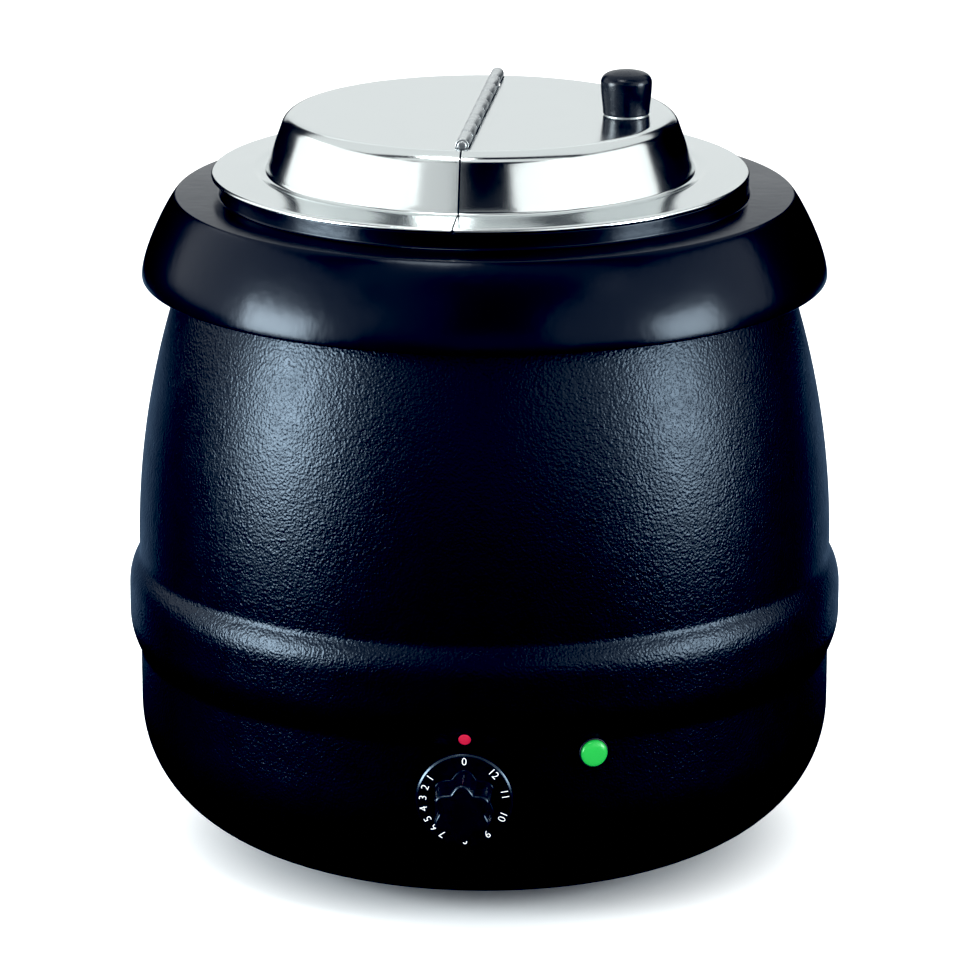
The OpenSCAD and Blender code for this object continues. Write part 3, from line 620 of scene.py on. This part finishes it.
def lid_top_path():
    """The lid's upper face, from beside the hinge out to the turned-down edge."""
    lean = math.radians(LEAN)
    side = (RAISED_R + SHOULDER * math.cos(lean), LID_TOP - SHOULDER + SHOULDER * math.sin(lean))
    flat = [(NOTCH + (RAISED_R - NOTCH) * i / 40, LID_TOP) for i in range(40)]
    shoulder = bow(RAISED_R, LID_TOP - SHOULDER, SHOULDER, SHOULDER, 90, LEAN, 24)
    foot_z = FLANGE_Z + 0.2
    drop = side[1] - foot_z - FOOT_RISE
    run = drop * math.tan(lean)
    wall = [(side[0] + run * i / 10, side[1] - drop * i / 10) for i in range(1, 10)]
    foot = bezier((side[0] + run, foot_z + FOOT_RISE), (102, foot_z), (103, foot_z - 0.2), (105, foot_z), 12)
    bead = bezier((105, foot_z), (107, foot_z + 0.2), (106.6, foot_z + 0.9), (109, foot_z + 0.8), 8)[1:]
    flange = bezier((109, foot_z + 0.8), (114, foot_z + 0.5), (120, foot_z),
                    (LID_R - EDGE_R, FLANGE_Z), 14)[1:]
    edge = bow(LID_R - EDGE_R, FLANGE_Z - EDGE_R, EDGE_R, EDGE_R, 90, 0, 10)[1:]
    return flat + shoulder + wall + foot + bead + flange + edge


def seam_offset(r, left):
    """How far from the hinge line the sheet starts, at radius r; left is the way to the edge."""
    if r < NOTCH_R:
        return NOTCH
    if left < CORNER:
        return SEAM + CORNER - math.sqrt(max(CORNER ** 2 - (CORNER - left) ** 2, 0))
    return SEAM


def make_lid_half(name, side, body, node):
    """Half of the lid's sheet, on the side of its hinge line given by side, -1 or 1."""
    top = lid_top_path()
    under = beside(top, LID_SHEET)
    lengths = [math.dist(a, b) for a, b in zip(top, top[1:])] + [0]
    columns = 120
    bm = bmesh.new()
    sheets = []
    for path in (top, under):
        rows = []
        for i, (r, z) in enumerate(path):
            start = seam_offset(top[i][0], sum(lengths[i:]))
            half = math.acos(min(start / max(r, start), 1))
            turns = [half * (2 * k / columns - 1) for k in range(columns + 1)]
            rows.append([bm.verts.new((side * r * math.cos(a), r * math.sin(a), z)) for a in turns])
        sheets.append(rows)
    for rows in sheets:
        for a, b in zip(rows, rows[1:]):
            for k in range(columns):
                bm.faces.new((a[k], a[k + 1], b[k + 1], b[k]))
    upper, lower = sheets
    for k in range(columns):
        bm.faces.new((upper[-1][k], upper[-1][k + 1], lower[-1][k + 1], lower[-1][k]))
    for k in (0, columns):
        for i in range(len(top) - 1):
            bm.faces.new((upper[i][k], upper[i + 1][k], lower[i + 1][k], lower[i][k]))
    bmesh.ops.remove_doubles(bm, verts=bm.verts, dist=1e-4)
    dress(link_mesh(name, bm, on_lid()), "lid_steel", body, node)


def make_hinge():
    """Two leaves on the lid, with knuckles that take turns round one pin."""
    pitch = BARREL_LEN / KNUCKLES
    gap = 0.1
    leaf_low = HINGE_Z - BARREL_R
    parts = {-1: bmesh.new(), 1: bmesh.new()}
    for side, bm in parts.items():
        first = 0 if side < 0 else 1
        near, far = sorted((side * NOTCH, side * LEAF_REACH))
        add_block(bm, (near, -LEAF_HALF, leaf_low), (far, LEAF_HALF, leaf_low + LID_SHEET), 0.3, on_lid())
        for i in range(first, KNUCKLES, 2):
            y0 = -BARREL_LEN / 2 + i * pitch + gap
            y1 = y0 + pitch - 2 * gap
            outline = rounded([(BARREL_BORE, 0, 0), (BARREL_R, 0, 0.35),
                               (BARREL_R, y1 - y0, 0.35), (BARREL_BORE, y1 - y0, 0)], 3)
            add_lathe(bm, outline, 64, on_lid(along_y(0, y0, HINGE_Z)))
            tab = sorted((side * 3.6, side * 0.4))
            low, high = max(y0, -LEAF_HALF), min(y1, LEAF_HALF)
            add_block(bm, (tab[0], low, leaf_low), (tab[1], high, leaf_low + LID_SHEET), 0.2, on_lid())
    for side, bm, body, node in ((-1, parts[-1], "lid_left", "hinge_leaf_left"),
                                 (1, parts[1], "lid_right", "hinge_leaf_right")):
        dress(link_mesh("knuckles_left" if side < 0 else "knuckles_right", bm), "hinge_steel", body, node)
    pin = bmesh.new()
    reach = BARREL_LEN / 2 + PIN_HEAD_T
    seat = reach - PIN_HEAD_T
    outline = rounded([(0, -reach, 0), (PIN_HEAD_R, -reach, 0.5), (PIN_HEAD_R, -seat, 0.1), (PIN_R, -seat, 0),
                       (PIN_R, seat, 0), (PIN_HEAD_R, seat, 0.1), (PIN_HEAD_R, reach, 0.5), (0, reach, 0)], 3)
    add_lathe(pin, outline, 48, on_lid(along_y(0, 0, HINGE_Z)))
    dress(link_mesh("pin", pin), "hinge_steel", "lid_left", "hinge_pin")


def make_lid_knob():
    """The knob on the right half, a little wider at the top, on its thin bright washer."""
    base = LID_TOP + WASHER_T
    lower = rounded([(0, 0, 0), (11.0, 0, 0.7), (11.15, 3, 0)], 4)[:-1]
    shoulder_z = KNOB_H - 5.8
    flank = bezier((11.05, 1.4), (11.4, 6), (KNOB_R, 10), (KNOB_R, shoulder_z), 20)
    crown = bow(KNOB_R - KNOB_CROWN, shoulder_z, KNOB_CROWN, 4.8, 4, 78, 14)
    top = bezier(crown[-1], (6.2, KNOB_H - 0.55), (3.5, KNOB_H), (0, KNOB_H), 10)[1:]
    place = on_lid(Matrix.Translation((KNOB_X, 0, base)))
    dress(lathe("knob", lower + flank + crown + top, 96, place), "knob_plastic", "lid_right", "lid_knob")
    ring = rounded([(WASHER_BORE, 0, 0), (WASHER_R, 0, 0.1), (WASHER_R, WASHER_T, 0.2),
                    (WASHER_BORE, WASHER_T, 0)], 4)
    place = on_lid(Matrix.Translation((KNOB_X, 0, LID_TOP)))
    dress(lathe("knob_ring", ring, 96, place), "hinge_steel", "lid_right", "knob_washer")


# ---- dial ----

LOBES = 6
NUMBER_TURNS = {0: 0, 1: 55, 2: 70.5, 3: 86, 4: 102, 5: 118, 6: 133, 7: 148, 8: 181, 9: 214, 10: 248, 11: 281,
                12: 315}
NUMBER_R = 18.9
NUMBER_SIZE = 5.1


def grip_r(a, cut):
    """Radius of the lobed grip in direction a, measured from a lobe, with the flutes cut deep."""
    wave = (1 + math.cos(LOBES * a)) / 2
    return (11.6 + 3.2 * wave ** 0.8) - cut


def make_dial():
    """A flat skirt that carries the numbers, and a fluted grip that narrows to the front."""
    place = along_y(0, DIAL_BACK, DIAL_Z, -1)
    bm = bmesh.new()
    skirt = rounded([(SPINDLE_R, 0, 0), (DIAL_R, 0, 0.3), (DIAL_R, SKIRT_T - 0.8, 0.4),
                     (DIAL_R - 1.0, SKIRT_T, 0.5), (9, SKIRT_T, 0), (SPINDLE_R, SKIRT_T - 0.4, 0)], 4)
    add_lathe(bm, skirt, 128, place)
    height = DIAL_BACK - DIAL_FACE
    shoulder = height - GRIP_EDGE
    taper = 0.95
    levels = [(SKIRT_T - 0.3, -0.5), (SKIRT_T + 0.5, 0.1), (SKIRT_T + 1.2, 0.25), (height - 4, 0.75),
              (shoulder, taper)]
    for a in (20, 40, 60, 75, 90):
        turn = math.radians(a)
        levels.append((shoulder + GRIP_EDGE * math.sin(turn), taper + GRIP_EDGE * (1 - math.cos(turn))))
    turns = 180
    rings = []
    for z, cut in levels:
        angles = [2 * math.pi * k / turns for k in range(turns)]
        rings.append([(grip_r(a, cut) * math.sin(a), grip_r(a, cut) * math.cos(a), z) for a in angles])
    add_loft(bm, rings, place)
    dress(link_mesh("dial", bm), "dial_plastic", "dial", "dial_knob")


def make_numbers():
    """The printed numbers, one mesh, a hair proud of the dial's skirt."""
    bm = bmesh.new()
    for number, turn in NUMBER_TURNS.items():
        curve = bpy.data.curves.new("number", "FONT")
        curve.body = str(number)
        curve.size = NUMBER_SIZE
        curve.offset = -0.03
        curve.extrude = 0.06
        curve.resolution_u = 6
        curve.align_x, curve.align_y = "CENTER", "CENTER"
        text = bpy.data.objects.new("number", curve)
        bpy.context.scene.collection.objects.link(text)
        bpy.context.view_layer.update()
        mesh = text.to_mesh().copy()
        spot = Matrix.Rotation(math.radians(turn), 4, "Z") @ Matrix.Translation((0, NUMBER_R, SKIRT_T + 0.05))
        place = along_y(0, DIAL_BACK, DIAL_Z, -1) @ spot
        mesh.transform(place)
        bm.from_mesh(mesh)
        text.to_mesh_clear()
        bpy.data.meshes.remove(mesh)
        bpy.data.objects.remove(text)
        bpy.data.curves.remove(curve)
    dress(link_mesh("dial_numbers", bm), "dial_plastic", "dial", look="dial_print")


# ---- pilot lamp, gland ----

def make_lamp():
    """A low bezel and a domed green cap."""
    bezel = rounded([(3.6, -2, 0), (5.1, -2, 0), (5.1, 0.6, 0), (7, 0.6, 0.1), (7, 1.5, 0.5), (6.4, 1.5, 0),
                     (3.6, 1.5, 0)], 3)
    dress(lathe("lamp_ring", bezel, 96, at_lamp(WALL_R)), "control_plastic", "base", "lamp_bezel")
    dome = [(0, 1.5), (6.3, 1.5), (6.3, 2.0)] + bow(0, 2.0, 6.3, 2.5, 0, 90, 20, 2.3)[1:]
    dress(lathe("lamp_cap", dome, 96, at_lamp(WALL_R)), "lamp_green", "base", "lamp_lens")


def make_gland():
    """Gland with a hexagon against the wall and a ribbed dome nut."""
    bm = bmesh.new()
    wall = WALL_R + 0.1
    place = along_y(0, 0, (gland_low[2] + gland_high[2]) / 2)
    corners = [math.radians(60 * k) for k in range(6)]
    hexagon = rounded([(GLAND_FLATS_R * math.cos(a), GLAND_FLATS_R * math.sin(a), 0.8) for a in corners], 4)

    def level(y, scale):
        return [(x * scale, z * scale, y) for x, z in hexagon]

    nut = [level(wall, 0.97), level(wall + 0.4, 1), level(wall + 4.6, 1), level(wall + 5, 0.96)]
    add_loft(bm, nut, place)
    outline = [(GLAND_BORE, gland_low[1]), (7.8, gland_low[1]), (7.8, wall + 4), (GLAND_R, wall + 4)]
    outline += [(GLAND_R, wall + 13)] + bow(6, wall + 13.2, 4, gland_high[1] - wall - 13.2, 0, 90, 12)[1:]
    outline += [(4.3, gland_high[1]), (GLAND_BORE, gland_high[1] - 0.6)]
    add_lathe(bm, outline, 96, place)
    ribs = 18
    for k in range(ribs):
        spot = place @ Matrix.Rotation(2 * math.pi * k / ribs, 4, "Z")
        add_block(bm, (9.6, -0.7, wall + 5.4), (10.5, 0.7, wall + 12.6), 0.3, spot)
    dress(link_mesh("gland", bm), "control_plastic", "base", "cord_gland")


# ---- studio ----

CAMERA_TURN = 3.07
AIM_Z = 0.2
FLOOR_HALF = 6000


def panel(name, low, high, near, far, distance, power, colour):
    """A soft box that fills the view from the kettle between two elevations and two turns.

    Turns are in degrees from the camera's side, and power is the box's radiance.
    """
    middle = math.radians((near + far) / 2)
    rise = math.radians((low + high) / 2)
    light = bpy.data.lights.new(name, "AREA")
    light.shape = "RECTANGLE"
    light.size = 2 * distance * math.tan(math.radians(abs(far - near) / 2))
    light.size_y = 2 * distance * math.tan(math.radians((high - low) / 2))
    light.color = colour
    light.energy = power * light.size * light.size_y * math.pi
    obj = bpy.data.objects.new(name, light)
    a = math.radians(CAMERA_TURN) + middle
    aim = Vector((0, 0, AIM_Z))
    way = Vector((math.sin(a) * math.cos(rise), -math.cos(a) * math.cos(rise), math.sin(rise)))
    obj.location = aim + way * distance
    obj.rotation_euler = way.to_track_quat("Z", "Y").to_euler()
    obj.visible_camera = False
    bpy.context.scene.collection.objects.link(obj)


def make_studio():
    """Big soft boxes at both sides, a dim light tent for the steel, and faint rims."""
    cool, plain, rim = (0.84, 0.94, 1), (0.97, 1, 1), (0.5, 0.72, 1)
    panel("soft_left", -2, 20, -57, -82, 1.6, 19, cool)
    panel("soft_right", -2, 20, 56, 79, 1.6, 13, cool)
    panel("tent_left", 5, 40, -41, -128, 2.0, 1.3, plain)
    panel("tent_low", 6, 21, -13, 22, 2.0, 0.55, plain)
    panel("tent_grey", 12, 40, -14, -36, 2.0, 0.75, plain)
    panel("tent_right", 5, 40, 23, 108, 2.0, 1.3, plain)
    panel("tent_front", 45, 62, -40, 40, 1.8, 0.9, plain)
    panel("tent_top", 76, 140, -50, 50, 1.5, 0.9, plain)
    panel("back", 2, 40, 160, 200, 2.4, 0.9, plain)
    panel("streak", 58, 70, -40, -22, 1.6, 9, plain)
    panel("rim_left", -24, -4, -132, -170, 0.7, 0.6, rim)
    panel("rim_right", -24, -4, 132, 170, 0.7, 0.55, rim)

    world = bpy.data.worlds.new("studio")
    world.use_nodes = True
    world.node_tree.nodes["Background"].inputs["Color"].default_value = (1, 1, 1, 1)
    world.node_tree.nodes["Background"].inputs["Strength"].default_value = 1.25
    world.cycles_visibility.glossy = False
    bpy.context.scene.world = world

    bm = bmesh.new()
    signs = ((-1, -1), (1, -1), (1, 1), (-1, 1))
    bm.faces.new([bm.verts.new((x * FLOOR_HALF, y * FLOOR_HALF, 0)) for x, y in signs])
    floor = link_mesh("floor", bm)
    mat = material("floor", (0.93, 0.93, 0.93), 0.9)
    floor.data.materials.append(mat)
    floor.visible_glossy = False


def make_tone():
    """A printed picture's tone: deep blacks that lean to blue."""
    view = bpy.context.scene.view_settings
    view.view_transform = "Standard"
    view.gamma = 0.85
    view.use_curve_mapping = True
    view.curve_mapping.black_level = (0.023, 0.020, 0.007)
    view.curve_mapping.update()


def make_camera():
    """A long lens a little above the lid, level with the photo's view."""
    distance, height, pitch, swing = 2.4, 0.8565, 15.83, 0.052
    data = bpy.data.cameras.new("camera")
    data.lens = 192.8
    data.sensor_width = 36
    camera = bpy.data.objects.new("camera", data)
    a = math.radians(CAMERA_TURN)
    camera.location = (distance * math.sin(a), -distance * math.cos(a), height)
    camera.rotation_euler = (math.radians(90 - pitch), 0, math.radians(CAMERA_TURN + swing))
    bpy.context.scene.collection.objects.link(camera)
    bpy.context.scene.camera = camera


make_camera()
make_studio()
make_tone()
dress_frame()
make_shell()
make_index_dot()
make_feet()
make_collar()
make_pot()
make_lid_half("lid_left", -1, "lid_left", "lid_left_half")
make_lid_half("lid_right", 1, "lid_right", "lid_right_half")
make_hinge()
make_lid_knob()
make_dial()
make_numbers()
make_lamp()
make_gland()
